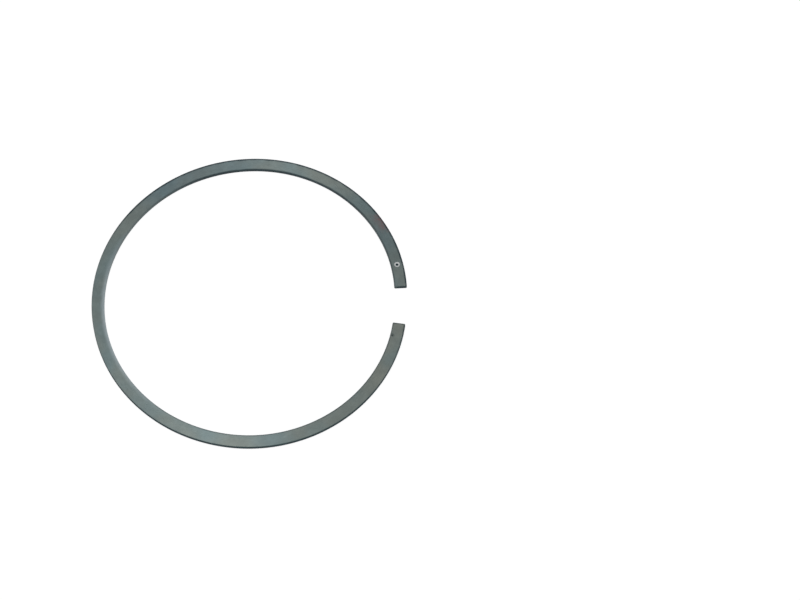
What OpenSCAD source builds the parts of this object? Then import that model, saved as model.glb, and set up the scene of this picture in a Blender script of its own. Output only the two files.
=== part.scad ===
// Compression ring of a piston, lying flat and open, as it is before it is squeezed into its cylinder.
// Millimetres, +Z up towards the marked side, the gap towards +X.
// The origin is the middle of the ring's outline, on its lower side face.

/* [Ring] */
// Diameter of the cylinder bore that the ring closes into
bore_diameter = 86; // [60:0.5:140]
// Wall from the inner face to the running face
radial_wall = 3.55; // [2.6:0.05:5.5]
// Height between the two side faces
axial_height = 1.2; // [0.9:0.05:3]

/* [Gap] */
// Open gap between the two ends, at the middle of the wall
free_gap = 11.5; // [5:0.1:18]
// Gap left between the ends once the ring is closed
closed_gap = 0.3; // [0.15:0.05:0.8]
// Corner break of each end, at the running face and at the inner face
end_break = 0.2; // [0.05:0.05:0.5]

/* [Section] */
// Lean of the running face, which touches the bore at its lower edge
face_taper_angle = 1; // [0.25:0.25:3]
// Edge break above and below the running face
outer_edge_break = 0.08; // [0.05:0.01:0.3]
// Edge break above and below the inner face
inner_edge_break = 0.08; // [0.05:0.01:0.3]

/* [Mark] */
// Diameter of the round punch mark that shows which side goes up
mark_diameter = 1.6; // [0.8:0.1:2]
// Diameter of the flat floor of the mark
mark_floor_diameter = 0.7; // [0.2:0.05:0.75]
// Depth of the mark
mark_depth = 0.12; // [0.05:0.01:0.3]
// Distance of the mark from the end, along the middle of the wall
mark_distance = 7; // [3:0.1:20]

/* [Hidden] */

// Segments of a full turn in the preview
$fn = 240;
// How far a cutting shape runs past the face that it cuts
overcut = 1;
// Step that radii and section corners are rounded to, so that neighbouring arcs meet face to face
grid = 0.001;
function on_grid(value) = round(value / grid) * grid;

// Middle of the wall when the ring is closed, and the length of one half of that line
closed_radius = (bore_diameter - radial_wall) / 2;
half_length = PI * closed_radius - closed_gap / 2;

// A ring that presses evenly all round its bore is straightened most at its back and not at all at its ends.
// Each half is drawn as two tangent arcs, with the mean straightening of its back and front quarter.
back_share = 1 + 2 / PI;
front_share = 1 - 2 / PI;
function opened_radius(opening, share) = closed_radius / (1 - opening * share);

// Angle of a front arc, which takes the length that the back arc leaves
function front_angle(back, front) = (half_length - back * PI / 2) / front * 180 / PI;
function gap_between(back, front) = 2 * (back - front + front * cos(front_angle(back, front)));
function gap_at(opening) =
    gap_between(opened_radius(opening, back_share), opened_radius(opening, front_share));

// The opening that gives the free gap: a first guess is corrected in proportion until the gap is right
first_opening = (free_gap - closed_gap) / (3 * PI * closed_radius);
function corrected(opening) = opening * (free_gap - closed_gap) / (gap_at(opening) - closed_gap);
function solved(opening) = abs(gap_at(opening) - free_gap) < grid ? opening : solved(corrected(opening));
opening = solved(first_opening);

// Middle of the wall on the open ring: radii of its back and its front, and how far their centres lie apart
back_radius = on_grid(opened_radius(opening, back_share));
front_radius = on_grid(opened_radius(opening, front_share));
centre_offset = on_grid(back_radius - front_radius);
front_span = on_grid(front_angle(back_radius, front_radius));
end_angle = 90 - front_span;

// Cross-section, as distances from the middle of the wall and heights above the lower side face
half_wall = on_grid(radial_wall / 2);
face_taper = on_grid((axial_height - 2 * outer_edge_break) * tan(face_taper_angle));
upper_edge = on_grid(half_wall - face_taper);
section_corners = [
    [inner_edge_break - half_wall, 0],
    [half_wall - outer_edge_break, 0],
    [half_wall, outer_edge_break],
    [upper_edge, axial_height - outer_edge_break],
    [upper_edge - outer_edge_break, axial_height],
    [inner_edge_break - half_wall, axial_height],
    [-half_wall, axial_height - inner_edge_break],
    [-half_wall, inner_edge_break]
];

// Radii of the front arcs' faces, and the widest corner of each end
running_radius = front_radius + half_wall;
inner_radius = front_radius - half_wall;
corner_angle = end_angle + atan(end_break / running_radius);

// Shift that brings the middle of the outline to the origin
back_reach = back_radius + half_wall;
front_reach = running_radius * cos(corner_angle);
outline_shift = on_grid((back_reach - front_reach) / 2);

// Place of the mark: the middle of the flat part of the upper side face
mark_radius = front_radius + (section_corners[4][0] + section_corners[5][0]) / 2;
mark_angle = end_angle + mark_distance / front_radius * 180 / PI;
// The cutting cone keeps its slope past the face, where it is twice as far from its floor
mark_mouth_diameter = 2 * mark_diameter - mark_floor_diameter;

// Cross-section at a distance from the axis that it turns about
module section_at(radius) {
    polygon([for (corner = section_corners) [radius + corner[0], corner[1]]]);
}

// The half of the ring away from the gap
module back_arc() {
    rotate_extrude(angle = 180, start = 90)
        section_at(back_radius);
}

// One of the two arcs that run from the back to the gap, on the +Y side (1) or the -Y side (-1)
module front_arc(side) {
    translate([0, side * centre_offset, 0])
        rotate_extrude(angle = front_span, start = side > 0 ? end_angle : 270)
            section_at(front_radius);
}

// Wedges that break the two corners of one end
module end_corner_cuts(side) {
    translate([0, side * centre_offset, -overcut])
        rotate([0, 0, side * end_angle])
            linear_extrude(height = axial_height + 2 * overcut) {
                corner_wedge(running_radius, 1, side);
                corner_wedge(inner_radius, -1, side);
            }
}

// Outline of a wedge at a radius: outward (1) or inward (-1), with the ring on one side of the end face
module corner_wedge(radius, outward, side) {
    polygon([
        [radius - outward * (end_break + overcut), -side * overcut],
        [radius + outward * overcut, -side * overcut],
        [radius + outward * overcut, side * (end_break + overcut)]
    ]);
}

// Punch mark with sloping walls and a flat floor
module punch_mark() {
    translate([0, centre_offset, axial_height - mark_depth])
        rotate([0, 0, mark_angle])
            translate([mark_radius, 0, 0])
                cylinder(h = 2 * mark_depth, d1 = mark_floor_diameter, d2 = mark_mouth_diameter);
}

// The whole ring, one piece of iron
module piston_ring() {
    color([0.44, 0.48, 0.47])
        translate([outline_shift, 0, 0])
            difference() {
                union() {
                    back_arc();
                    front_arc(1);
                    front_arc(-1);
                }
                end_corner_cuts(1);
                end_corner_cuts(-1);
                punch_mark();
            }
}

piston_ring();
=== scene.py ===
"""Dresses the open piston ring in lapped and phosphated iron, and sets a pale stage for its picture."""

import math

import bmesh
import bpy
from mathutils import Matrix, Vector


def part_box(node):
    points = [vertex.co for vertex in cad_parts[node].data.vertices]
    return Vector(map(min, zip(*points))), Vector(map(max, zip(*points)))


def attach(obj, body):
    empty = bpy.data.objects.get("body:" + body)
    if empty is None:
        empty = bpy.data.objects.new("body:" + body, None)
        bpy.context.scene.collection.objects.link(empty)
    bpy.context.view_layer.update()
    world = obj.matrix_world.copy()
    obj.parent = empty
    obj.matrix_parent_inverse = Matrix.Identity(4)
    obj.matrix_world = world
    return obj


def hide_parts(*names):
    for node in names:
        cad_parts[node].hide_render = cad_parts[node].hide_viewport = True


bl_info = {
    "name": "Piston Ring",
    "version": (1, 0, 0),
    "blender": (4, 5, 0),
    "location": "3D View > Sidebar > Piston Ring",
    "description": "Models an open compression ring in lapped and phosphated iron, on a studio stage",
    "category": "Object",
}

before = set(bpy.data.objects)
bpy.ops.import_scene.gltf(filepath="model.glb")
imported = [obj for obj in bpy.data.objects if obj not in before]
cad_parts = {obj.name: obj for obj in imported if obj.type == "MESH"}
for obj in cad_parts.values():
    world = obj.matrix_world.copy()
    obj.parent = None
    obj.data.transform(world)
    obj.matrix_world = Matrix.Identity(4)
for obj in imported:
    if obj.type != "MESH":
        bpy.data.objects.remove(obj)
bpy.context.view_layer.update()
NODE = "piston_ring"
RING_LOW, RING_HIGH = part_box(NODE)


class RingSizes(bpy.types.PropertyGroup):
    """Sizes of the ring, in metres"""

    bore_diameter: bpy.props.FloatProperty(
        name="Bore diameter", description="Diameter of the bore that the ring closes into",
        default=0.086, precision=5, unit="LENGTH")
    radial_wall: bpy.props.FloatProperty(
        name="Radial wall", description="Wall from the inner face to the running face",
        default=0.00355, precision=5, unit="LENGTH")
    axial_height: bpy.props.FloatProperty(
        name="Axial height", description="Height between the two side faces",
        default=RING_HIGH[2] - RING_LOW[2], precision=5, unit="LENGTH")
    free_gap: bpy.props.FloatProperty(
        name="Free gap", description="Open gap between the ends, at the middle of the wall",
        default=0.0115, precision=5, unit="LENGTH")
    closed_gap: bpy.props.FloatProperty(
        name="Closed gap", description="Gap left between the ends in the bore",
        default=0.0003, precision=5, unit="LENGTH")
    end_break: bpy.props.FloatProperty(
        name="End break", description="Corner break of each end",
        default=0.0002, precision=5, unit="LENGTH")
    face_taper: bpy.props.FloatProperty(
        name="Face taper", description="How far the running face leans in towards its upper edge",
        default=0.000018, precision=6, unit="LENGTH")
    outer_edge_break: bpy.props.FloatProperty(
        name="Outer edge break", description="Edge break above and below the running face",
        default=0.00008, precision=5, unit="LENGTH")
    inner_edge_break: bpy.props.FloatProperty(
        name="Inner edge break", description="Edge break above and below the inner face",
        default=0.00008, precision=5, unit="LENGTH")
    mark_diameter: bpy.props.FloatProperty(
        name="Mark diameter", description="Diameter of the round punch mark",
        default=0.0016, precision=5, unit="LENGTH")
    mark_floor_diameter: bpy.props.FloatProperty(
        name="Mark floor", description="Diameter of the flat floor of the punch mark",
        default=0.0007, precision=5, unit="LENGTH")
    mark_depth: bpy.props.FloatProperty(
        name="Mark depth", description="Depth of the punch mark",
        default=0.00012, precision=5, unit="LENGTH")
    mark_distance: bpy.props.FloatProperty(
        name="Mark distance", description="Distance of the punch mark from the end, along the wall",
        default=0.007, precision=5, unit="LENGTH")
    nick_diameter: bpy.props.FloatProperty(
        name="Nick diameter", description="Width of the small nick by the unmarked end",
        default=0.0008, precision=5, unit="LENGTH")
    nick_depth: bpy.props.FloatProperty(
        name="Nick depth", description="Depth of the nick",
        default=0.0002, precision=5, unit="LENGTH")
    nick_distance: bpy.props.FloatProperty(
        name="Nick distance", description="Distance of the nick from its end, along the wall",
        default=0.004, precision=5, unit="LENGTH")
    nick_inset: bpy.props.FloatProperty(
        name="Nick inset", description="Distance of the middle of the nick from the inner face",
        default=0.0006, precision=5, unit="LENGTH")
    steps: bpy.props.IntProperty(
        name="Steps", description="Segments of a half turn", default=240, min=24)


class RingColours(bpy.types.PropertyGroup):
    """Colours of the ring's finishes, and of its painted highlight and shade"""

    lapped_colour: bpy.props.FloatVectorProperty(
        name="Lapped iron", description="Satin grey of the lapped side faces",
        default=(0.139, 0.174, 0.165), subtype="COLOR", min=0.0, max=1.0)
    # Painted highlight: a lighter colour that stands in for light caught along the inner edge at the
    # back
    painted_highlight_colour: bpy.props.FloatVectorProperty(
        name="Painted highlight colour", description="Lighter wear along the inner edge at the back",
        default=(0.29, 0.335, 0.345), subtype="COLOR", min=0.0, max=1.0)
    # Also the colour of the painted shade at the far outer edge, at the unmarked end and low on the
    # wall of the punch mark
    phosphate_and_shade_colour: bpy.props.FloatVectorProperty(
        name="Phosphate", description="Dark skin of the walls and the broken edges",
        default=(0.012, 0.026, 0.031), subtype="COLOR", min=0.0, max=1.0)
    bare_colour: bpy.props.FloatVectorProperty(
        name="Bare iron", description="Bright iron where the punch went through the skin",
        default=(0.46, 0.475, 0.46), subtype="COLOR", min=0.0, max=1.0)
    stain_colour: bpy.props.FloatVectorProperty(
        name="Stain", description="Reddish stain by the outer edge of the marked arm",
        default=(0.14, 0.082, 0.082), subtype="COLOR", min=0.0, max=1.0)


class RingWearAndLight(bpy.types.PropertyGroup):
    """Painted highlight and shade, skin, stain, clouding and the dark nick: angles run from the back,
    and are positive on the marked side
    """

    # Where the painted highlight along the inner edge lies, and how far it runs
    painted_highlight_angle: bpy.props.FloatProperty(
        name="Painted highlight angle", description="Middle of the worn band along the inner edge",
        default=math.radians(-15), subtype="ANGLE")
    painted_highlight_reach: bpy.props.FloatProperty(
        name="Painted highlight reach", description="How far the worn band runs each way",
        default=math.radians(55), subtype="ANGLE")
    stain_angle: bpy.props.FloatProperty(
        name="Stain angle", description="Middle of the reddish stain",
        default=math.radians(143.5), subtype="ANGLE")
    stain_reach: bpy.props.FloatProperty(
        name="Stain reach", description="How far the stain runs each way",
        default=math.radians(6), subtype="ANGLE")
    outer_skin: bpy.props.FloatProperty(
        name="Outer skin", description="Width of the dark skin by the outer edge of the near side",
        default=0.00025, precision=5, unit="LENGTH")
    # Past the near side's width, the far side's dark band is painted shade
    far_outer_skin_and_shade: bpy.props.FloatProperty(
        name="Outer skin and shade, far", description="Width of the dark skin by the outer edge of the far side",
        default=0.0007, precision=5, unit="LENGTH")
    inner_skin: bpy.props.FloatProperty(
        name="Inner skin", description="Width of the dark skin along the inner edge",
        default=0.00045, precision=5, unit="LENGTH")
    end_skin: bpy.props.FloatProperty(
        name="End skin", description="Width of the dark skin along the ends",
        default=0.00045, precision=5, unit="LENGTH")
    clouding: bpy.props.FloatProperty(
        name="Clouding", description="How much the mottle darkens the lapped faces",
        default=0.23, min=0.0, max=1.0, subtype="FACTOR")
    nick_darkness: bpy.props.FloatProperty(
        name="Nick darkness", description="How dark the nick is",
        default=0.7, min=0.0, max=1.0, subtype="FACTOR")


class StudioSettings(bpy.types.PropertyGroup):
    """Camera, light and floor of the picture"""

    target: bpy.props.FloatVectorProperty(
        name="Target", description="Point on the floor at the middle of the picture",
        default=(0.04238, 0.00206, 0.0), subtype="TRANSLATION", unit="LENGTH")
    distance: bpy.props.FloatProperty(
        name="Distance", description="Distance of the camera from the target",
        default=0.7320, unit="LENGTH")
    azimuth: bpy.props.FloatProperty(
        name="Azimuth", description="Turn of the camera round the ring",
        default=math.radians(1.141), subtype="ANGLE")
    elevation: bpy.props.FloatProperty(
        name="Elevation", description="Height of the camera above the floor, as an angle",
        default=math.radians(63.963), subtype="ANGLE")
    roll: bpy.props.FloatProperty(
        name="Roll", description="Lean of the camera about its own axis",
        default=math.radians(1.196), subtype="ANGLE")
    lens: bpy.props.FloatProperty(
        name="Lens", description="Focal length, for a sensor 36 mm wide",
        default=117.0, min=1.0, unit="CAMERA")
    box_place: bpy.props.FloatVectorProperty(
        name="Box place", description="Place of the soft box, which faces the middle of the ring",
        default=(-0.115, 0.0, 0.8), subtype="TRANSLATION", unit="LENGTH")
    box_size: bpy.props.FloatProperty(
        name="Box size", description="Width of the soft box",
        default=0.3, unit="LENGTH")
    box_power: bpy.props.FloatProperty(
        name="Box power", description="Power of the soft box",
        default=1.5, unit="POWER")
    box_colour: bpy.props.FloatVectorProperty(
        name="Box colour", description="Colour of the soft box's light",
        default=(1.0, 0.955, 0.96), subtype="COLOR", min=0.0, max=1.0)
    surround_colour: bpy.props.FloatVectorProperty(
        name="Surround", description="Colour of the even light from all round",
        default=(0.95, 0.97, 1.0), subtype="COLOR", min=0.0, max=1.0)
    surround_strength: bpy.props.FloatProperty(
        name="Surround strength", description="Strength of the even light from all round",
        default=0.865, min=0.0)
    floor_colour: bpy.props.FloatVectorProperty(
        name="Floor", description="Colour of the floor",
        default=(0.92, 0.92, 0.92), subtype="COLOR", min=0.0, max=1.0)
    floor_size: bpy.props.FloatProperty(
        name="Floor size", description="Width of the floor",
        default=6.0, unit="LENGTH")


# Rounds of correction in which the open form settles
CORRECTIONS = 12


class OpenForm:
    """Arcs of the open ring, which is straightened most at its back and not at all at its ends"""

    def __init__(self, sizes):
        closed_radius = (sizes.bore_diameter - sizes.radial_wall) / 2
        half_length = math.pi * closed_radius - sizes.closed_gap / 2
        back_share = 1 + 2 / math.pi
        front_share = 1 - 2 / math.pi
        spread = sizes.free_gap - sizes.closed_gap
        opening = spread / (3 * math.pi * closed_radius)
        for _ in range(CORRECTIONS):
            self.back = closed_radius / (1 - opening * back_share)
            self.front = closed_radius / (1 - opening * front_share)
            self.span = (half_length - self.back * math.pi / 2) / self.front
            gap = 2 * (self.back - self.front + self.front * math.cos(self.span))
            opening *= spread / (gap - sizes.closed_gap)
        self.offset = self.back - self.front
        self.length = 2 * half_length
        self.end_angle = math.pi / 2 - self.span
        half_wall = sizes.radial_wall / 2
        corner = self.end_angle + math.atan(sizes.end_break / (self.front + half_wall))
        front_reach = (self.front + half_wall) * math.cos(corner)
        self.shift = (self.back + half_wall - front_reach) / 2

    def front_point(self, across, angle, height, side=1):
        """Point at a distance from the middle of the wall and an angle on a front arc"""
        radius = self.front + across
        x = self.shift + radius * math.cos(angle)
        y = self.offset + radius * math.sin(angle)
        return Vector((x, side * y, height))

    def end_directions(self, side):
        """At the end of one side, the ways out across the wall and on past the end"""
        ahead, aside = math.cos(self.end_angle), math.sin(self.end_angle)
        return Vector((ahead, side * aside, 0)), Vector((aside, -side * ahead, 0))

    def locate(self, point):
        """Length along the middle of the wall from the marked end, and distance from that line"""
        forward = point.x - self.shift
        if forward < 0:
            along = self.front * self.span + self.back * math.atan2(-forward, point.y)
            return along, math.hypot(forward, point.y) - self.back
        sideways = abs(point.y) - self.offset
        from_end = self.front * (math.atan2(sideways, forward) - self.end_angle)
        along = from_end if point.y > 0 else self.length - from_end
        return along, math.hypot(forward, sideways) - self.front


def only(piece):
    """Leave one object selected and active"""
    bpy.ops.object.select_all(action="DESELECT")
    piece.select_set(True)
    bpy.context.view_layer.objects.active = piece


def pick(piece, domain, test):
    """In edit mode, select the verts, edges or faces that pass a test"""
    mesh = bmesh.from_edit_mesh(piece.data)
    bpy.ops.mesh.select_mode(type={"verts": "VERT", "edges": "EDGE", "faces": "FACE"}[domain])
    bpy.ops.mesh.select_all(action="DESELECT")
    chosen = [item for item in getattr(mesh, domain) if test(item)]
    if not chosen:
        raise RuntimeError("nothing to select on " + piece.name)
    for item in chosen:
        item.select_set(True)
    mesh.select_flush_mode()
    bmesh.update_edit_mesh(piece.data)


def wire(tree, value, socket):
    """Link an output to a socket, or set the socket's own value"""
    if isinstance(value, bpy.types.NodeSocket):
        tree.links.new(value, socket)
    else:
        socket.default_value = value


def add_node(tree, kind, **settings):
    """Add a node with its settings"""
    made = tree.nodes.new(kind)
    for name, value in settings.items():
        setattr(made, name, value)
    return made


def fill(tree, made, values):
    """Give the inputs of a node their values"""
    for name, value in values.items():
        wire(tree, value, made.inputs[name])


def calc(tree, operation, *values):
    """Add a Math node on values or outputs"""
    made = add_node(tree, "ShaderNodeMath", operation=operation)
    for value, socket in zip(values, made.inputs):
        wire(tree, value, socket)
    return made.outputs[0]


def product(tree, first, *others):
    """Multiply values or outputs"""
    for other in others:
        first = calc(tree, "MULTIPLY", first, other)
    return first


def fade(tree, value, span, result=(0.0, 1.0)):
    """Map a value smoothly from one span to another"""
    made = add_node(tree, "ShaderNodeMapRange", interpolation_type="SMOOTHSTEP")
    names = ("Value", "From Min", "From Max", "To Min", "To Max")
    fill(tree, made, dict(zip(names, (value, *span, *result))))
    return made.outputs["Result"]


def apart(tree, angle, place):
    """Angle between a point and a place on the ring"""
    return calc(tree, "ABSOLUTE", calc(tree, "SUBTRACT", angle, place))


def blend(tree, factor, first, second, mode="MIX"):
    """Mix two colours"""
    made = add_node(tree, "ShaderNodeMix", data_type="RGBA", blend_type=mode)
    wire(tree, factor, made.inputs[0])
    wire(tree, first, made.inputs[6])
    wire(tree, second, made.inputs[7])
    return made.outputs[2]


def noise(tree, vector, scale, detail, roughness):
    """Add a Noise texture and give its value"""
    made = add_node(tree, "ShaderNodeTexNoise")
    fill(tree, made, {"Vector": vector, "Scale": scale, "Detail": detail, "Roughness": roughness})
    return made.outputs["Fac"]


def object_place(tree):
    """Place of a point on its object"""
    return add_node(tree, "ShaderNodeTexCoord").outputs["Object"]


def split_place(tree, place):
    """X, Y and Z of a place"""
    made = add_node(tree, "ShaderNodeSeparateXYZ")
    wire(tree, place, made.inputs[0])
    return made.outputs


def tinted(colour, tint=(1.0, 1.0, 1.0)):
    """Opaque colour, times a tint"""
    return (*(part * share for part, share in zip(colour, tint)), 1.0)


def new_material(name):
    """Make a material with a Principled shader"""
    material = bpy.data.materials.new(name)
    material.use_nodes = True
    tree = material.node_tree
    tree.nodes.clear()
    output = add_node(tree, "ShaderNodeOutputMaterial")
    shader = add_node(tree, "ShaderNodeBsdfPrincipled")
    tree.links.new(shader.outputs["BSDF"], output.inputs["Surface"])
    return material, tree, shader


def new_group(name, inputs, outputs):
    """Make a node group with named inputs and outputs, and give the sockets inside it"""
    group = bpy.data.node_groups.new(name, "ShaderNodeTree")
    for label, value in inputs.items():
        socket = group.interface.new_socket(label, in_out="INPUT", socket_type="NodeSocketFloat")
        socket.default_value = value
    for label in outputs:
        group.interface.new_socket(label, in_out="OUTPUT", socket_type="NodeSocketFloat")
    given = add_node(group, "NodeGroupInput").outputs
    result = add_node(group, "NodeGroupOutput").inputs
    return group, given, result


def place_group(tree, group, **given):
    """Place a node group, give its inputs their values and return its outputs"""
    made = add_node(tree, "ShaderNodeGroup", node_tree=group)
    fill(tree, made, given)
    return made.outputs


# How deep the fine grain is
GRAIN_DEPTH = 0.00002


def roughen(tree, shader, height, strength):
    """Give a shader a fine bump"""
    bump = add_node(tree, "ShaderNodeBump")
    fill(tree, bump, {"Strength": strength, "Distance": GRAIN_DEPTH, "Height": height})
    wire(tree, bump.outputs["Normal"], shader.inputs["Normal"])


# A slanting line parts the far, marked side from the near one: its slant, and where the change runs
FAR_SLANT = 0.35
FAR_SPAN = (-0.012, 0.022)


def wall_position_group(form):
    """Group that says where a point lies: across, around, from the back, from the end, far over"""
    outputs = ("Across", "Around", "From back", "From end", "Far")
    group, _, result = new_group("Wall position", {}, outputs)
    place = split_place(group, object_place(group))
    forward = calc(group, "SUBTRACT", place["X"], form.shift)
    in_front = calc(group, "GREATER_THAN", forward, 0.0)
    lift = calc(group, "MULTIPLY", in_front, form.offset)
    sideways = calc(group, "SUBTRACT", calc(group, "ABSOLUTE", place["Y"]), lift)
    squares = calc(group, "ADD", product(group, forward, forward), product(group, sideways, sideways))
    middle = calc(group, "SUBTRACT", form.back, lift)
    wire(group, calc(group, "SUBTRACT", calc(group, "SQRT", squares), middle), result["Across"])
    turn = calc(group, "ARCTAN2", place["Y"], forward)
    wire(group, calc(group, "MULTIPLY", turn, form.back), result["Around"])
    behind = calc(group, "MULTIPLY", forward, -1.0)
    wire(group, calc(group, "ARCTAN2", place["Y"], behind), result["From back"])
    ahead = calc(group, "MULTIPLY", forward, math.sin(form.end_angle))
    inside = calc(group, "MULTIPLY", sideways, math.cos(form.end_angle))
    wire(group, calc(group, "SUBTRACT", inside, ahead), result["From end"])
    far = calc(group, "MULTIPLY_ADD", place["X"], FAR_SLANT, place["Y"])
    wire(group, fade(group, far, FAR_SPAN), result["Far"])
    return group


# Noises of the iron: features in a metre, detail and roughness
DRIFT = (75.0, 2.0, 0.5)
MOTTLE = (420.0, 4.0, 0.6)
STREAK = (9000.0, 2.0, 0.5)
GRIT = (7000.0, 3.0, 0.6)
SMEAR = (1500.0, 3.0, 0.6)
NICK_DARKENING_NOISE = (2600.0, 3.0, 0.5)
SCUFF = (9000.0, 3.0, 0.6)
# Spans of a noise's value, from nearly all of it to its core
NOISE_WIDE = (0.2, 0.8)
NOISE_USUAL = (0.3, 0.7)
NOISE_CORE = (0.35, 0.65)
# Width of a streak against its length along the ring, and its share in the height of the grain
STREAK_DRAW = 0.06
STREAK_SHARE = 0.5


def iron_grain_group(position):
    """Group with the grain of the iron: a wide drift, a mottle, a lapping streak and a height"""
    inputs = {"Streak share": STREAK_SHARE}
    group, given, result = new_group("Iron grain", inputs, ("Drift", "Mottle", "Streak", "Height"))
    place = object_place(group)
    where = place_group(group, position)
    drawn = add_node(group, "ShaderNodeCombineXYZ")
    wire(group, where["Across"], drawn.inputs["X"])
    wire(group, calc(group, "MULTIPLY", where["Around"], STREAK_DRAW), drawn.inputs["Y"])
    wire(group, noise(group, place, *DRIFT), result["Drift"])
    wire(group, noise(group, place, *MOTTLE), result["Mottle"])
    streak = noise(group, drawn.outputs[0], *STREAK)
    wire(group, streak, result["Streak"])
    grit = noise(group, place, *GRIT)
    wire(group, calc(group, "MULTIPLY_ADD", streak, given["Streak share"], grit), result["Height"])
    return group


# The painted highlight along the inner edge at the back: where it fades in, in shares of half the wall,
# and the angle within which it is full
PAINTED_HIGHLIGHT_START = -0.22
PAINTED_HIGHLIGHT_END = -1.14
PAINTED_HIGHLIGHT_FULL = math.radians(5)


def painted_highlight_band_group(position, sizes, wear):
    """Group with the mask of the painted highlight along the inner edge at the back of the ring"""
    group, given, result = new_group("Worn band", {"Strength": 1.0}, ("Worn",))
    where = place_group(group, position)
    half_wall = sizes.radial_wall / 2
    inward = fade(group, where["Across"], (PAINTED_HIGHLIGHT_START * half_wall, PAINTED_HIGHLIGHT_END * half_wall))
    aside = apart(group, where["From back"], wear.painted_highlight_angle)
    back = fade(group, aside, (wear.painted_highlight_reach, PAINTED_HIGHLIGHT_FULL))
    wire(group, product(group, inward, back, given["Strength"]), result["Worn"])
    return group


# The stain: the angle within which it is full, how far its ends stray, and where across it starts
STAIN_FULL = math.radians(2)
STAIN_RAGGED = (math.radians(-1.5), math.radians(1.5))
STAIN_START = -0.8
# Its strength from there to the outer edge, its patches, and the shares of the height it fades over
STAIN_ACROSS = (0.08, 0.75)
STAIN_PATCHES = (0.45, 1.3)
STAIN_LOW = 0.2
STAIN_HIGH = 0.8


def edge_stain_group(position, grain, sizes, wear):
    """Group with the mask of the reddish stain on the marked arm, strongest at the outer edge"""
    group, given, result = new_group("Edge stain", {"Strength": 1.0}, ("Stain",))
    place = object_place(group)
    where = place_group(group, position)
    fine = place_group(group, grain)
    half_wall, height = sizes.radial_wall / 2, sizes.axial_height
    ragged = fade(group, fine["Mottle"], NOISE_USUAL, STAIN_RAGGED)
    aside = calc(group, "ADD", apart(group, where["From back"], wear.stain_angle), ragged)
    near = fade(group, aside, (wear.stain_reach, STAIN_FULL))
    outward = fade(group, where["Across"], (STAIN_START * half_wall, half_wall), STAIN_ACROSS)
    patchy = fade(group, noise(group, place, *SMEAR), NOISE_CORE, STAIN_PATCHES)
    upper = fade(group, split_place(group, place)["Z"], (STAIN_LOW * height, STAIN_HIGH * height))
    wire(group, product(group, near, outward, patchy, upper, given["Strength"]), result["Stain"])
    return group


# The dark skin: how far its border strays, and the distances from each edge within which it is full
SKIN_RAGGED = (-0.0001, 0.0001)
OUTER_SKIN_FULL = 0.0002
INNER_SKIN_FULL = 0.00012
END_SKIN_FULL = 0.00015
# Its strength, at the outer edge from near to far, and at the ends from the marked one to the other;
# the rise towards the far outer edge and towards the unmarked end is painted shade
OUTER_SKIN_AND_SHADE = (0.15, 0.95)
INNER_SKIN_DARK = 0.55
END_SKIN_AND_SHADE = (0.2, 0.6)
# Half the gap in which the strength changes from one end to the other
END_CHANGE = 0.003
# Where lapping left the inner skin thin: angle from the back, spread from there, and share left
THIN_ANGLE = math.radians(36)
THIN_SPREAD = (math.radians(10), math.radians(30))
THIN_SHARE = (0.3, 1.0)


def edge_skin_and_shade(tree, where, fine, sizes, wear, worn):
    """Patchy mask of the dark skin that lapping left along the edges and the ends, with painted shade
    that widens and darkens it at the far outer edge and darkens it at the unmarked end
    """
    half_wall = sizes.radial_wall / 2
    ragged = fade(tree, fine["Mottle"], NOISE_USUAL, SKIN_RAGGED)
    across = calc(tree, "ADD", where["Across"], ragged)
    starts = (half_wall - wear.outer_skin, half_wall - wear.far_outer_skin_and_shade)
    outer_start = fade(tree, where["Far"], (0.0, 1.0), starts)
    outer = fade(tree, across, (outer_start, half_wall - OUTER_SKIN_FULL))
    outer = product(tree, outer, fade(tree, where["Far"], (0.0, 1.0), OUTER_SKIN_AND_SHADE))
    inner = fade(tree, across, (wear.inner_skin - half_wall, INNER_SKIN_FULL - half_wall))
    thin = fade(tree, apart(tree, where["From back"], THIN_ANGLE), THIN_SPREAD, THIN_SHARE)
    # The painted highlight thins the dark skin along the inner edge
    inner = product(tree, inner, calc(tree, "SUBTRACT", INNER_SKIN_DARK, worn), thin)
    place = split_place(tree, object_place(tree))
    from_end = calc(tree, "SUBTRACT", where["From end"], ragged)
    end = fade(tree, from_end, (wear.end_skin, END_SKIN_FULL))
    in_front = calc(tree, "GREATER_THAN", place["X"], 0.0)
    dark = fade(tree, place["Y"], (END_CHANGE, -END_CHANGE), END_SKIN_AND_SHADE)
    end = product(tree, end, in_front, dark)
    return calc(tree, "MAXIMUM", outer, calc(tree, "MAXIMUM", inner, end))


# How far the darkening strays round the nick, and the shares of the nick's width over which it fades
DARKENING_RAGGED = (-0.00012, 0.00012)
DARKENING_START = 0.62
DARKENING_FULL = 0.3


def nick_darkening(tree, nick, sizes):
    """Mask that darkens the colour in and round the nick"""
    place = object_place(tree)
    away = add_node(tree, "ShaderNodeVectorMath", operation="DISTANCE")
    wire(tree, place, away.inputs[0])
    wire(tree, nick, away.inputs[1])
    ragged = fade(tree, noise(tree, place, *NICK_DARKENING_NOISE), NOISE_USUAL, DARKENING_RAGGED)
    reach = calc(tree, "ADD", away.outputs["Value"], ragged)
    return fade(tree, reach, (DARKENING_START * sizes.nick_diameter, DARKENING_FULL * sizes.nick_diameter))


# Broad tints of the lapped faces: degrees from the back, reach, full strength within, and tint. The
# first and the last are a cool and a warm tone of the iron; the second is painted light that brightens
# the unmarked side near the back; the third darkens the marked arm, partly a darker tone of the iron
# and partly painted shade
BROAD_TINTS_AND_PAINTED_LIGHT = (
    (62, 37, 4, (0.8, 0.87, 0.94, 1.0)),
    (-28, 34, 8, (1.11, 1.11, 1.11, 1.0)),
    (143, 34, 8, (0.78, 0.79, 0.8, 1.0)),
    (-160, 24, 8, (1.14, 1.06, 1.01, 1.0)),
)
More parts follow.
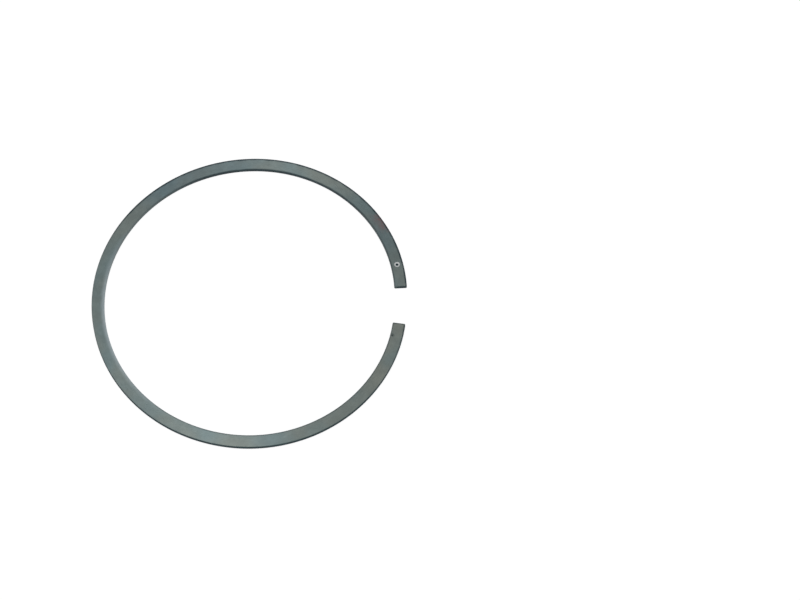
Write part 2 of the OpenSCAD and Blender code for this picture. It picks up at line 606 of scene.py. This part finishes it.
# Tints of the drift and of the clouds in the lapped iron, and how much its streaks lighten it
COOL_TINT = (0.94, 1.0, 1.05)
WARM_TINT = (1.08, 1.0, 0.96)
CLOUD_TINT = (0.4, 0.4, 0.4)
STREAK_LIGHT = (0.98, 1.12)
# Sheen of the lapped iron: streaks round the ring draw its highlights out across the wall
LAPPED_ROUGHNESS = (0.36, 0.44)
LAPPED_METAL = 0.7
LAPPED_DRAW = 0.75
LAPPED_DRAW_TURN = 0.25
LAPPED_BUMP = 0.15
# How much of the stain shows on the dark skin
STAIN_ON_SKIN = 0.4


def lapped_iron(scene, groups, nick):
    """Satin side face with fine marks round the ring, and a dark skin left along its edges, with
    painted highlight, painted light and painted shade laid into its colour
    """
    sizes, finish, wear = scene.ring_sizes, scene.ring_finish, scene.ring_wear
    material, tree, shader = new_material("lapped_iron")
    where = place_group(tree, groups["position"])
    fine = place_group(tree, groups["grain"])
    base = finish.lapped_colour
    drift = fade(tree, fine["Drift"], NOISE_CORE)
    tint = blend(tree, drift, tinted(base, COOL_TINT), tinted(base, WARM_TINT))
    clouded = fade(tree, fine["Mottle"], NOISE_USUAL, (0.0, wear.clouding))
    tint = blend(tree, clouded, tint, tinted(base, CLOUD_TINT))
    # Tones of the iron, painted light and painted shade, each over its span of angles
    for place, reach, full, shade in BROAD_TINTS_AND_PAINTED_LIGHT:
        aside = apart(tree, where["From back"], math.radians(place))
        bloom = fade(tree, aside, (math.radians(reach), math.radians(full)))
        tint = blend(tree, bloom, tint, shade, "MULTIPLY")
    # Painted highlight along the inner edge at the back
    worn = place_group(tree, groups["worn"])["Worn"]
    tint = blend(tree, worn, tint, tinted(finish.painted_highlight_colour))
    tint = blend(tree, 1.0, tint, fade(tree, fine["Streak"], NOISE_CORE, STREAK_LIGHT), "MULTIPLY")
    stain = place_group(tree, groups["stain"])["Stain"]
    tint = blend(tree, stain, tint, tinted(finish.stain_colour))
    # Dark skin along the edges and ends, with painted shade at the far outer edge and the unmarked end
    skin = edge_skin_and_shade(tree, where, fine, sizes, wear, worn)
    darkened_nick = product(tree, nick_darkening(tree, nick, sizes), wear.nick_darkness)
    stain_on_skin = place_group(tree, groups["stain"], Strength=STAIN_ON_SKIN)["Stain"]
    dark = blend(tree, stain_on_skin, tinted(finish.phosphate_and_shade_colour), tinted(finish.stain_colour))
    tint = blend(tree, calc(tree, "MAXIMUM", skin, darkened_nick), tint, dark)
    tangent = add_node(tree, "ShaderNodeTangent", direction_type="RADIAL", axis="Z")
    fill(tree, shader, {
        "Base Color": tint,
        "Roughness": fade(tree, fine["Streak"], NOISE_WIDE, LAPPED_ROUGHNESS),
        "Metallic": LAPPED_METAL,
        "Anisotropic": LAPPED_DRAW,
        "Anisotropic Rotation": LAPPED_DRAW_TURN,
        "Tangent": tangent.outputs["Tangent"],
    })
    roughen(tree, shader, fine["Height"], LAPPED_BUMP)
    return material


# The phosphate skin: tint and span of its light mottle, and how far the running face is rubbed
LIGHT_TINT = (1.6, 1.6, 1.6)
LIGHT_SPAN = (0.4, 0.75)
RUBBED_RUNNING = (0.0, 0.09)
# The share of half the wall at which a wall's own rubbing is full
WALL_SHARE = 0.9
# The inner wall is rubbed at the back and towards the ends: angles from the back, and how much
RUBBED_BACK_ANGLES = (math.radians(70), math.radians(36))
RUBBED_BACK = (0.0, 0.5)
RUBBED_FRONT_ANGLES = (math.radians(130), math.radians(150))
RUBBED_FRONT = (0.0, 0.3)
# The upper rim: depths below the top where it starts and is full, the strength of the painted highlight
# on it, and the painted light on its near side
RIM_START = 0.0002
RIM_FULL = 0.00005
RIM_HIGHLIGHT_STRENGTH = (0.6, 1.0)
NEAR_RIM_PAINTED_LIGHT = 0.25
# Sheen: the inner face is smoother than the rest, between these distances from it
SMOOTH_FULL = 0.00003
SMOOTH_END = 0.00015
PHOSPHATE_ROUGHNESS = (0.42, 0.75)
PHOSPHATE_STREAK = 0.1
PHOSPHATE_SPECULAR = 0.11
PHOSPHATE_BUMP = 0.2


def phosphated_iron(scene, groups):
    """Dark skin of the walls, the ends and the broken edges, rubbed lighter at the back, with the
    painted highlight strongest on the rim and painted light on the rim's near side
    """
    sizes, finish = scene.ring_sizes, scene.ring_finish
    half_wall, height = sizes.radial_wall / 2, sizes.axial_height
    material, tree, shader = new_material("phosphated_iron")
    where = place_group(tree, groups["position"])
    fine = place_group(tree, groups["grain"])
    lapped = tinted(finish.lapped_colour)
    base = finish.phosphate_and_shade_colour
    tint = blend(tree, fade(tree, fine["Mottle"], LIGHT_SPAN), tinted(base), tinted(base, LIGHT_TINT))
    running = fade(tree, where["Across"], (0.0, WALL_SHARE * half_wall), RUBBED_RUNNING)
    tint = blend(tree, running, tint, lapped)
    behind = calc(tree, "ABSOLUTE", where["From back"])
    at_back = fade(tree, behind, RUBBED_BACK_ANGLES, RUBBED_BACK)
    at_front = fade(tree, behind, RUBBED_FRONT_ANGLES, RUBBED_FRONT)
    inner = fade(tree, where["Across"], (0.0, -WALL_SHARE * half_wall))
    tint = blend(tree, product(tree, calc(tree, "MAXIMUM", at_back, at_front), inner), tint, lapped)
    place = split_place(tree, object_place(tree))
    # The painted highlight along the inner edge at the back is strongest on the upper rim
    rim = fade(tree, place["Z"], (height - RIM_START, height - RIM_FULL))
    strength = fade(tree, rim, (0.0, 1.0), RIM_HIGHLIGHT_STRENGTH)
    worn = place_group(tree, groups["worn"], Strength=strength)["Worn"]
    tint = blend(tree, worn, tint, tinted(finish.painted_highlight_colour))
    # Painted light on the near side of the rim
    near = calc(tree, "SUBTRACT", 1.0, where["Far"])
    tint = blend(tree, product(tree, rim, near, NEAR_RIM_PAINTED_LIGHT), tint, lapped)
    stain = place_group(tree, groups["stain"], Strength=STAIN_ON_SKIN)["Stain"]
    tint = blend(tree, stain, tint, tinted(finish.stain_colour))
    smooth_span = (SMOOTH_FULL - half_wall, SMOOTH_END - half_wall)
    rough = fade(tree, where["Across"], smooth_span, PHOSPHATE_ROUGHNESS)
    rough = calc(tree, "MULTIPLY_ADD", fine["Streak"], PHOSPHATE_STREAK, rough)
    values = {"Base Color": tint, "Roughness": rough, "Specular IOR Level": PHOSPHATE_SPECULAR}
    fill(tree, shader, values)
    roughen(tree, shader, fine["Height"], PHOSPHATE_BUMP)
    return material


# The punch mark, in shares of its depth: how far borders stray, and where the rim and the painted shade
# by the floor fade
MARK_RAGGED = (-0.1, 0.1)
MARK_RIM = (0.1, -0.1)
MARK_FLOOR_SHADE = (0.8, 1.05)
# Tint of the scuffs in the bare iron, and its sheen
SCUFF_TINT = (0.7, 0.7, 0.7)
BARE_ROUGHNESS = (0.4, 0.55)
BARE_METAL = 0.4
BARE_BUMP = 0.4


def bare_iron(scene, groups):
    """Bright iron on the sloping wall of the punch mark, dull at its rim, with painted shade darkening
    it by its floor
    """
    sizes, finish = scene.ring_sizes, scene.ring_finish
    material, tree, shader = new_material("bare_iron")
    fine = place_group(tree, groups["grain"])
    place = object_place(tree)
    scuffed = noise(tree, place, *SCUFF)
    below = calc(tree, "SUBTRACT", sizes.axial_height, split_place(tree, place)["Z"])
    depth = calc(tree, "DIVIDE", below, sizes.mark_depth)
    depth = calc(tree, "ADD", depth, fade(tree, scuffed, NOISE_USUAL, MARK_RAGGED))
    base = finish.bare_colour
    tint = blend(tree, fade(tree, scuffed, NOISE_CORE), tinted(base, SCUFF_TINT), tinted(base))
    tint = blend(tree, fade(tree, depth, MARK_RIM), tint, tinted(finish.lapped_colour))
    # Painted shade: the wall darkens towards the floor of the mark
    tint = blend(tree, fade(tree, depth, MARK_FLOOR_SHADE), tint, tinted(finish.phosphate_and_shade_colour))
    rough = fade(tree, fine["Streak"], NOISE_WIDE, BARE_ROUGHNESS)
    fill(tree, shader, {"Base Color": tint, "Roughness": rough, "Metallic": BARE_METAL})
    roughen(tree, shader, scuffed, BARE_BUMP)
    return material


# Segments of a rounded edge and of the punch mark
EDGE_SEGMENTS = 3
MARK_SEGMENTS = 64
# Points this close are one point, and a cut passes through points that are this close to it
MERGE_DISTANCE = 1e-7
CUT_DISTANCE = 1e-8


def add_section(sizes):
    """Cross-section of the ring, drawn flat: X runs from the middle of the wall, Y is the height"""
    bpy.ops.object.select_all(action="DESELECT")
    bpy.ops.mesh.primitive_plane_add(size=1)
    piece = bpy.context.object
    half_wall, height = sizes.radial_wall / 2, sizes.axial_height
    upper_edge = half_wall - sizes.face_taper
    bpy.ops.object.mode_set(mode="EDIT")
    bpy.ops.mesh.select_all(action="SELECT")
    bpy.ops.transform.resize(value=(sizes.radial_wall, height, 1))
    bpy.ops.transform.translate(value=(0, height / 2, 0))
    pick(piece, "verts", lambda vert: vert.co.x > 0 and vert.co.y > height / 2)
    bpy.ops.transform.translate(value=(-sizes.face_taper, 0, 0))
    corners = (
        (Vector((upper_edge, height)), sizes.outer_edge_break),
        (Vector((half_wall, 0)), sizes.outer_edge_break),
        (Vector((-half_wall, height)), sizes.inner_edge_break),
        (Vector((-half_wall, 0)), sizes.inner_edge_break),
    )
    for corner, size in corners:
        pick(piece, "verts", lambda vert: (vert.co.xy - corner).length < MERGE_DISTANCE)
        bpy.ops.mesh.bevel(offset_type="OFFSET", offset=size, affect="VERTICES", segments=EDGE_SEGMENTS)
    bpy.ops.object.mode_set(mode="OBJECT")
    return piece


def close_skin():
    """In edit mode, merge the points that meet, turn the normals outward and leave edit mode"""
    bpy.ops.mesh.select_all(action="SELECT")
    bpy.ops.mesh.remove_doubles(threshold=MERGE_DISTANCE)
    bpy.ops.mesh.normals_make_consistent(inside=False)
    bpy.ops.object.mode_set(mode="OBJECT")


def sweep_ring(piece, form, steps):
    """Carry the section from one end round the back to the other end"""
    piece.rotation_euler = (math.pi / 2, 0, form.end_angle)
    piece.location = form.front_point(0.0, form.end_angle, 0.0)
    only(piece)
    bpy.ops.object.transform_apply(location=True, rotation=True, scale=True)
    bpy.ops.object.mode_set(mode="EDIT")
    bpy.ops.mesh.select_all(action="SELECT")
    front_steps = round(steps * form.span / math.pi)
    arcs = (
        (front_steps, form.span, form.offset),
        (steps, math.pi, 0.0),
        (front_steps, form.span, -form.offset),
    )
    for count, angle, centre in arcs:
        # With no window, spin turns clockwise about the axis that it is given
        bpy.ops.mesh.spin(steps=count, angle=angle, center=(form.shift, centre, 0), axis=(0, 0, -1))
    close_skin()


def break_end_corners(piece, form, sizes):
    """Cut the two upright corners of each end at 45 degrees"""
    bpy.ops.object.mode_set(mode="EDIT")
    for side in (1, -1):
        outward, past_end = form.end_directions(side)
        middle = form.front_point(0.0, form.end_angle, 0.0, side).xy

        def near_end(face):
            return (face.calc_center_median().xy - middle).length < sizes.radial_wall

        for way in (1, -1):
            across = way * (sizes.radial_wall / 2 - sizes.end_break)
            point = form.front_point(across, form.end_angle, 0.0, side)
            pick(piece, "faces", near_end)
            bpy.ops.mesh.bisect(
                plane_co=point, plane_no=outward * way + past_end,
                use_fill=True, clear_outer=True, threshold=CUT_DISTANCE)
    close_skin()


def cut_away(piece, cutter):
    """Cut the shape of one object out of another, and delete the cutter"""
    only(piece)
    bpy.ops.object.modifier_add(type="BOOLEAN")
    cut = piece.modifiers[-1]
    cut.operation = "DIFFERENCE"
    cut.solver = "EXACT"
    cut.object = cutter
    bpy.ops.object.modifier_apply(modifier=cut.name)
    only(cutter)
    bpy.ops.object.delete()


def punch_mark(piece, form, sizes):
    """Cut the round mark with sloping walls and a flat floor into the upper side face"""
    angle = form.end_angle + sizes.mark_distance / form.front
    across = (sizes.inner_edge_break - sizes.outer_edge_break - sizes.face_taper) / 2
    place = form.front_point(across, angle, sizes.axial_height)
    bpy.ops.object.select_all(action="DESELECT")
    # The cone keeps its slope past the face, where it is twice as far from its floor
    bpy.ops.mesh.primitive_cone_add(
        vertices=MARK_SEGMENTS, radius1=sizes.mark_floor_diameter / 2,
        radius2=sizes.mark_diameter - sizes.mark_floor_diameter / 2,
        depth=2 * sizes.mark_depth, location=place)
    cut_away(piece, bpy.context.object)
    return place


# The ball that dents the nick: detail, stretch, raggedness in depths of the nick, smoothing and seed
NICK_DETAIL = 4
NICK_STRETCH = (1.25, 0.8, 1.0)
NICK_RAGGED = 0.12
NICK_SMOOTHING = 0.5
NICK_SEED = 4


def dent_nick(piece, form, sizes):
    """Dent the upper face near the unmarked end, with a ragged hollow drawn out to the inner edge"""
    angle = form.end_angle + sizes.nick_distance / form.front
    place = form.front_point(sizes.nick_inset - sizes.radial_wall / 2, angle, sizes.axial_height, -1)
    half = sizes.nick_diameter / 2
    radius = (half ** 2 + sizes.nick_depth ** 2) / (2 * sizes.nick_depth)
    centre = place + Vector((0, 0, radius - sizes.nick_depth))
    bpy.ops.object.select_all(action="DESELECT")
    bpy.ops.mesh.primitive_ico_sphere_add(subdivisions=NICK_DETAIL, radius=radius, location=centre)
    hollow = bpy.context.object
    hollow.rotation_euler = (0, 0, -angle)
    hollow.scale = NICK_STRETCH
    bpy.ops.object.mode_set(mode="EDIT")
    bpy.ops.transform.vertex_random(offset=sizes.nick_depth * NICK_RAGGED, seed=NICK_SEED)
    bpy.ops.mesh.vertices_smooth(factor=NICK_SMOOTHING)
    bpy.ops.object.mode_set(mode="OBJECT")
    cut_away(piece, hollow)
    return place


# A face whose normal rises or falls this much is flat
FLAT = 0.99
# A face belongs to the mark or the nick within this share of its diameter
WITHIN = 0.52
# Faces of the mark lie at least this share of its depth below the top
MARK_TOP = 0.25


def lay_finishes(piece, sizes, mark, nick, materials):
    """Put the lapped, phosphated and bare finishes on the faces that they cover"""
    only(piece)
    for material in materials:
        bpy.ops.object.material_slot_add()
        piece.material_slots[-1].material = material
    mark_top = sizes.axial_height - MARK_TOP * sizes.mark_depth

    def within(face, place, diameter):
        away = (face.calc_center_median().xy - place.xy).length
        return away < WITHIN * diameter and face.normal.z > 0

    def in_mark(face):
        return within(face, mark, sizes.mark_diameter) and face.calc_center_median().z < mark_top

    def lapped(face):
        flat = abs(face.normal.z) > FLAT and not in_mark(face)
        return flat or within(face, nick, sizes.nick_diameter)

    def bare(face):
        return in_mark(face) and face.normal.z < FLAT

    def phosphated(face):
        return not lapped(face) and not bare(face)

    bpy.ops.object.mode_set(mode="EDIT")
    for index, test in enumerate((lapped, phosphated, bare)):
        pick(piece, "faces", test)
        piece.active_material_index = index
        bpy.ops.object.material_slot_assign()
    bpy.ops.object.mode_set(mode="OBJECT")


# The map that finishes are baked through: its name, its rows and the space beside each row
BAKE_MAP = "OFBake"
MAP_ROWS = 5
MAP_MARGIN = 0.0006
# A rounded edge reaches this many edge breaks in, and a broken corner this many end breaks
EDGE_REACH = 1.3
END_REACH = 2.0
# Faces of an end are upright, with normals that point this much past the end
UPRIGHT = 0.2
PAST_END = 0.5


def facing(face, form, sizes):
    """Whether a face of the skin looks up (1), down (-1) or sideways (0)"""
    across = form.locate(face.center)[1]
    edge = sizes.inner_edge_break if across < 0 else sizes.outer_edge_break
    inside = sizes.radial_wall / 2 - abs(across) > EDGE_REACH * edge
    if inside or abs(face.normal.z) > FLAT:
        return 1 if face.normal.z > 0 else -1
    return 0


def on_end(face, form, sizes):
    """Whether a face belongs to one of the two ends"""
    along = form.locate(face.center)[0]
    if min(along, form.length - along) > END_REACH * sizes.end_break:
        return False
    past_end = form.end_directions(1 if face.center.y > 0 else -1)[1]
    return abs(face.normal.z) < UPRIGHT and face.normal.dot(past_end) > PAST_END


def round_section(sizes, across, height, way):
    """Length round the section from its lower outer corner, up the running face and over the top"""
    half_wall, full = sizes.radial_wall / 2, sizes.axial_height
    if way > 0:
        return full + half_wall - across
    if way < 0:
        return 2 * full + sizes.radial_wall + half_wall + across
    above = 1 if height > full / 2 else -1
    if across > 0:
        return height + above * (half_wall - across)
    return 2 * full + sizes.radial_wall - height - above * (half_wall + across)


def straighten_map(piece, form, sizes):
    """Lay the skin of the ring out in straight rows, with the two end faces above them"""
    wall, height = sizes.radial_wall, sizes.axial_height
    row_length = form.length / MAP_ROWS
    row_pitch = 2 * (wall + height) + MAP_MARGIN
    ends_start = MAP_ROWS * row_pitch + MAP_MARGIN
    side = max(row_length + 2 * MAP_MARGIN, ends_start + height + MAP_MARGIN)
    mesh = piece.data
    layer = mesh.uv_layers.active
    layer.name = BAKE_MAP
    for face in mesh.polygons:
        end = on_end(face, form, sizes)
        way = facing(face, form, sizes)
        row = min(int(form.locate(face.center)[0] / row_length), MAP_ROWS - 1)
        for corner in face.loop_indices:
            point = mesh.vertices[mesh.loops[corner].vertex_index].co
            along, across = form.locate(point)
            if end and point.y > 0:
                u = MAP_MARGIN + wall / 2 + across
                v = ends_start + point.z
            elif end:
                u = 2 * MAP_MARGIN + wall + wall / 2 - across
                v = ends_start + point.z
            else:
                u = MAP_MARGIN + along - row * row_length
                v = MAP_MARGIN + row * row_pitch + round_section(sizes, across, point.z, way)
            layer.uv[corner].vector = (u / side, v / side)


# Edges sharper than this stay sharp
SHARP_ANGLE = math.radians(32)


def smooth_over(piece):
    """Shade the curved faces smooth, and let the large faces lead the normals"""
    only(piece)
    bpy.ops.object.shade_smooth_by_angle(angle=SHARP_ANGLE)
    bpy.ops.object.modifier_add(type="WEIGHTED_NORMAL")
    weighted = piece.modifiers[-1]
    weighted.keep_sharp = True
    bpy.ops.object.modifier_apply(modifier=weighted.name)


class PISTONRING_OT_ring(bpy.types.Operator):
    """Model the open ring in place of its plain solid"""

    bl_idname = "pistonring.ring"
    bl_label = "Ring"

    def execute(self, context):
        scene = context.scene
        sizes = scene.ring_sizes
        form = OpenForm(sizes)
        piece = add_section(sizes)
        piece.name = "open_ring"
        sweep_ring(piece, form, sizes.steps)
        break_end_corners(piece, form, sizes)
        mark = punch_mark(piece, form, sizes)
        nick = dent_nick(piece, form, sizes)
        groups = self.effects(scene, form)
        materials = (
            lapped_iron(scene, groups, nick),
            phosphated_iron(scene, groups),
            bare_iron(scene, groups),
        )
        lay_finishes(piece, sizes, mark, nick, materials)
        straighten_map(piece, form, sizes)
        smooth_over(piece)
        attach(piece, "root")
        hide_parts(NODE)
        return {"FINISHED"}

    def effects(self, scene, form):
        """Node groups that the finishes share"""
        sizes, wear = scene.ring_sizes, scene.ring_wear
        position = wall_position_group(form)
        grain = iron_grain_group(position)
        return {
            "position": position,
            "grain": grain,
            "worn": painted_highlight_band_group(position, sizes, wear),
            "stain": edge_stain_group(position, grain, sizes, wear),
        }


# The floor: how far it lies below the ring, and how rough it is
FLOOR_DROP = 0.00002
FLOOR_ROUGHNESS = 0.9
# Brightness of the white that the camera sees, and its share, which leaves the rest to the shadow
FLOOR_GLOW = 1.05
FLOOR_GLOW_SHARE = 0.85
# Camera: width of its sensor in millimetres, and the distance at which it starts to see
SENSOR_WIDTH = 36.0
CLIP_START = 0.01


class PISTONRING_OT_studio(bpy.types.Operator):
    """Set the pale stage, the soft light and the camera"""

    bl_idname = "pistonring.studio"
    bl_label = "Studio"

    def execute(self, context):
        studio = context.scene.studio_settings
        self.floor(studio)
        self.surround(context, studio)
        self.soft_box(studio)
        self.camera(context, studio)
        context.scene.view_settings.view_transform = "Standard"
        return {"FINISHED"}

    def floor(self, studio):
        """Wide pale floor, white to the camera, which keeps the ring's shadow"""
        bpy.ops.object.select_all(action="DESELECT")
        place = (0, 0, RING_LOW[2] - FLOOR_DROP)
        bpy.ops.mesh.primitive_plane_add(size=studio.floor_size, location=place)
        floor = bpy.context.object
        floor.name = "studio_floor"
        bpy.ops.object.transform_apply(location=True, rotation=True, scale=True)
        material, tree, shader = new_material("pale_floor")
        colour = tinted(studio.floor_colour)
        values = {"Base Color": colour, "Roughness": FLOOR_ROUGHNESS, "Specular IOR Level": 0.0}
        fill(tree, shader, values)
        path = add_node(tree, "ShaderNodeLightPath").outputs
        seen = calc(tree, "MAXIMUM", path["Is Camera Ray"], path["Is Glossy Ray"])
        seen = calc(tree, "MAXIMUM", seen, path["Is Transmission Ray"])
        glow = add_node(tree, "ShaderNodeEmission")
        wire(tree, FLOOR_GLOW, glow.inputs["Strength"])
        mixed = add_node(tree, "ShaderNodeMixShader")
        wire(tree, product(tree, seen, FLOOR_GLOW_SHARE), mixed.inputs[0])
        wire(tree, shader.outputs["BSDF"], mixed.inputs[1])
        wire(tree, glow.outputs["Emission"], mixed.inputs[2])
        output = tree.get_output_node("ALL")
        wire(tree, mixed.outputs["Shader"], output.inputs["Surface"])
        floor.data.materials.append(material)

    def surround(self, context, studio):
        """Even pale light from all round"""
        world = bpy.data.worlds.new("pale_surround")
        world.use_nodes = True
        back = world.node_tree.nodes["Background"]
        values = {"Color": tinted(studio.surround_colour), "Strength": studio.surround_strength}
        fill(world.node_tree, back, values)
        context.scene.world = world

    def soft_box(self, studio):
        """Square area lamp overhead, which faces the ring"""
        place = Vector(studio.box_place)
        aim = (-place).to_track_quat("-Z", "Y").to_euler()
        bpy.ops.object.light_add(type="AREA", location=place, rotation=aim)
        lamp = bpy.context.object
        lamp.name = "overhead_box"
        lamp.data.shape = "SQUARE"
        lamp.data.size = studio.box_size
        lamp.data.energy = studio.box_power
        lamp.data.color = studio.box_colour

    def camera(self, context, studio):
        """Camera that looks down on the ring"""
        turn = Matrix.Rotation(studio.azimuth, 3, "Z")
        tilt = Matrix.Rotation(math.pi / 2 - studio.elevation, 3, "X")
        lean = Matrix.Rotation(studio.roll, 3, "Z")
        aim = turn @ tilt @ lean
        place = Vector(studio.target) + aim @ Vector((0, 0, studio.distance))
        bpy.ops.object.camera_add(location=place, rotation=aim.to_euler())
        camera = bpy.context.object
        camera.name = "studio_camera"
        camera.data.sensor_width = SENSOR_WIDTH
        camera.data.lens = studio.lens
        camera.data.clip_start = CLIP_START
        context.scene.camera = camera


class PISTONRING_PT_build(bpy.types.Panel):
    """Steps that build the dressed ring, and the values that they use"""

    bl_idname = "PISTONRING_PT_build"
    bl_label = "Piston Ring"
    bl_space_type = "VIEW_3D"
    bl_region_type = "UI"
    bl_category = "Piston Ring"

    def draw(self, context):
        layout = self.layout
        scene = context.scene
        for name in OPERATORS:
            layout.operator(name)
        for group in (scene.ring_sizes, scene.ring_finish, scene.ring_wear, scene.studio_settings):
            box = layout.box()
            for name in group.__annotations__:
                box.prop(group, name)


OPERATORS = ("pistonring.ring", "pistonring.studio")
CLASSES = (
    RingSizes, RingColours, RingWearAndLight, StudioSettings,
    PISTONRING_OT_ring, PISTONRING_OT_studio, PISTONRING_PT_build,
)


def register():
    """Register the classes and give the scene their values"""
    for item in CLASSES:
        bpy.utils.register_class(item)
    bpy.types.Scene.ring_sizes = bpy.props.PointerProperty(type=RingSizes)
    bpy.types.Scene.ring_finish = bpy.props.PointerProperty(type=RingColours)
    bpy.types.Scene.ring_wear = bpy.props.PointerProperty(type=RingWearAndLight)
    bpy.types.Scene.studio_settings = bpy.props.PointerProperty(type=StudioSettings)


def unregister():
    """Take the values and the classes away again"""
    del bpy.types.Scene.studio_settings
    del bpy.types.Scene.ring_wear
    del bpy.types.Scene.ring_finish
    del bpy.types.Scene.ring_sizes
    for item in reversed(CLASSES):
        bpy.utils.unregister_class(item)


def main():
    """Build everything in order"""
    register()
    bpy.ops.pistonring.ring()
    bpy.ops.pistonring.studio()


if __name__ == "__main__":
    main()
